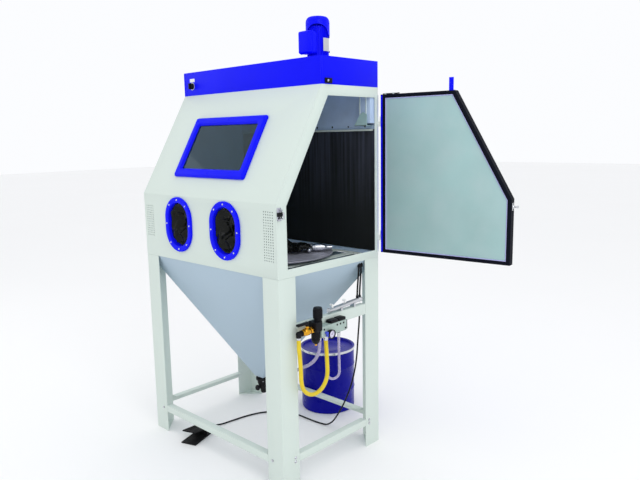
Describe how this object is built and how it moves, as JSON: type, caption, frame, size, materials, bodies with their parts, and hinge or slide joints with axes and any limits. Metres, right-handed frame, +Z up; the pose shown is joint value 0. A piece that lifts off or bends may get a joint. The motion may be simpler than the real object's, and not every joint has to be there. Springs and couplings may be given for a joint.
{
  "type": "sandblast cabinet",
  "caption": "Free-standing suction blast cabinet with a sloped window front, two glove ports, an open side door, a pyramid hopper on legs, a top extraction fan and a media drum.",
  "frame": {"origin": "bottom centre of the whole part at rest, with the side door standing open, on the floor plane", "axes": "+Z up, the operator stands on the -Y side, the side door is on the +X side"},
  "size_m": [1.6776, 1.0178, 2.087],
  "materials": {
    "body_paint": "light grey powder coat, satin",
    "blue_paint": "ultramarine gloss paint",
    "hopper_paint": "light grey powder coat, shaded side",
    "lining": "grey-green inner sheet, satin",
    "rubber": "black rubber, matt",
    "black_plastic": "black moulded plastic",
    "white_plastic": "white moulded plastic",
    "steel": "bright zinc-plated or brushed steel",
    "aluminium": "light anodised aluminium",
    "brass": "machined brass",
    "glass": "laminated safety glass",
    "drum_paint": "dark blue gloss drum enamel",
    "yellow_hose": "yellow braided PVC air hose",
    "clear_hose": "translucent PVC hose",
    "filter_media": "pleated filter fabric",
    "gauge": "white dial in a black case"
  },
  "bodies": {
    "root": {"leg_front_left": "body_paint", "leg_front_right": "body_paint", "leg_rear_left": "body_paint", "leg_rear_right": "body_paint", "rail_front": "body_paint", "rail_rear": "body_paint", "rail_left": "body_paint", "rail_right": "body_paint", "service_bar": "body_paint", "left_panel": "body_paint", "door_frame": "body_paint", "front_panel": "body_paint", "rear_panel": "body_paint", "roof_panel": "body_paint", "header_housing": "blue_paint", "window_frame": "blue_paint", "glove_ring_left": "blue_paint", "glove_ring_right": "blue_paint", "motor_body": "blue_paint", "hopper_front": "hopper_paint", "hopper_rear": "hopper_paint", "hopper_left": "hopper_paint", "hopper_right": "hopper_paint", "floor_grate": "lining", "rear_curtain": "rubber", "glove_left": "rubber", "glove_right": "rubber", "pedal_hose": "rubber", "media_valve": "black_plastic", "interlock_switch": "black_plastic", "regulator_body": "black_plastic", "pedal_base": "black_plastic", "work_lamp": "white_plastic", "blast_gun": "steel", "latch_base": "aluminium", "valve_block": "aluminium", "air_manifold": "aluminium", "ball_valve": "brass", "window_glass": "glass", "drum": "drum_paint", "air_hose": "yellow_hose", "media_hose": "clear_hose", "drain_hose": "clear_hose", "filter_cassette": "filter_media", "pressure_gauge": "gauge"},
    "door": {"door_shell": "blue_paint", "door_lining": "lining", "door_seal": "rubber", "door_keeper": "steel"},
    "latch_lever": {"latch_lever": "black_plastic"},
    "latch_bail": {"latch_bail": "steel"},
    "turntable": {"turntable": "steel"},
    "fan": {"fan_impeller": "aluminium"},
    "switch_knob": {"switch_knob": "black_plastic"},
    "regulator_knob": {"regulator_knob": "black_plastic"},
    "ball_valve_handle": {"ball_valve_handle": "black_plastic"},
    "pedal_treadle": {"pedal_treadle": "black_plastic"},
    "interlock_plunger": {"interlock_plunger": "white_plastic"},
    "media_valve_knob": {"media_valve_knob": "black_plastic"},
    "drum_lid": {"drum_lid": "drum_paint"}
  },
  "joints": [
    {"name": "door_hinge", "type": "hinge", "parent": "root", "child": "door", "pos_m": [0.17621, 0.19287, 1.335], "axis": [0, 0, 1], "range_deg": [-97, 53]},
    {"name": "latch_lever_swing", "type": "hinge", "parent": "root", "child": "latch_lever", "pos_m": [0.17121, -0.45713, 1.23], "axis": [0, 0, 1], "range_deg": [0, 95]},
    {"name": "latch_bail_swing", "type": "hinge", "parent": "latch_lever", "child": "latch_bail", "pos_m": [0.17321, -0.46613, 1.23], "axis": [0, 0, 1], "range_deg": [-95, 0]},
    {"name": "turntable_spin", "type": "hinge", "parent": "root", "child": "turntable", "pos_m": [-0.21879, -0.15313, 0.984], "axis": [0, 0, 1], "continuous": true},
    {"name": "fan_spin", "type": "hinge", "parent": "root", "child": "fan", "pos_m": [-0.03879, -0.00213, 1.81], "axis": [0, 0, 1], "continuous": true},
    {"name": "main_switch_turn", "type": "hinge", "parent": "root", "child": "switch_knob", "pos_m": [-0.76679, -0.20313, 1.812], "axis": [0, -1, 0], "range_deg": [-90, 0]},
    {"name": "regulator_turn", "type": "hinge", "parent": "root", "child": "regulator_knob", "pos_m": [0.18921, -0.27313, 0.78], "axis": [0, 0, 1], "range_deg": [-720, 720]},
    {"name": "ball_valve_turn", "type": "hinge", "parent": "root", "child": "ball_valve_handle", "pos_m": [0.18921, -0.34113, 0.745], "axis": [0, 0, 1], "range_deg": [0, 90]},
    {"name": "pedal_press", "type": "hinge", "parent": "root", "child": "pedal_treadle", "pos_m": [-0.58536, -0.34911, 0.034], "axis": [0.9397, 0.342, 0], "range_deg": [0, 8], "stiffness_Nm_per_rad": 4, "springref_deg": -20.05},
    {"name": "interlock_press", "type": "slide", "parent": "root", "child": "interlock_plunger", "axis": [1, 0, 0], "range_m": [-0.004, 0], "stiffness_N_per_m": 300, "springref_m": 0.004},
    {"name": "media_valve_turn", "type": "hinge", "parent": "root", "child": "media_valve_knob", "pos_m": [-0.33879, -0.17813, 0.262], "axis": [0, 1, 0], "range_deg": [-180, 180]},
    {"name": "drum_lid_lift", "type": "slide", "parent": "root", "child": "drum_lid", "axis": [0, 0, 1], "range_m": [0, 0.25]}
  ],
  "couplings": [
    {"joint": "latch_bail_swing", "follows": "latch_lever_swing", "ratio": -1}
  ]
}
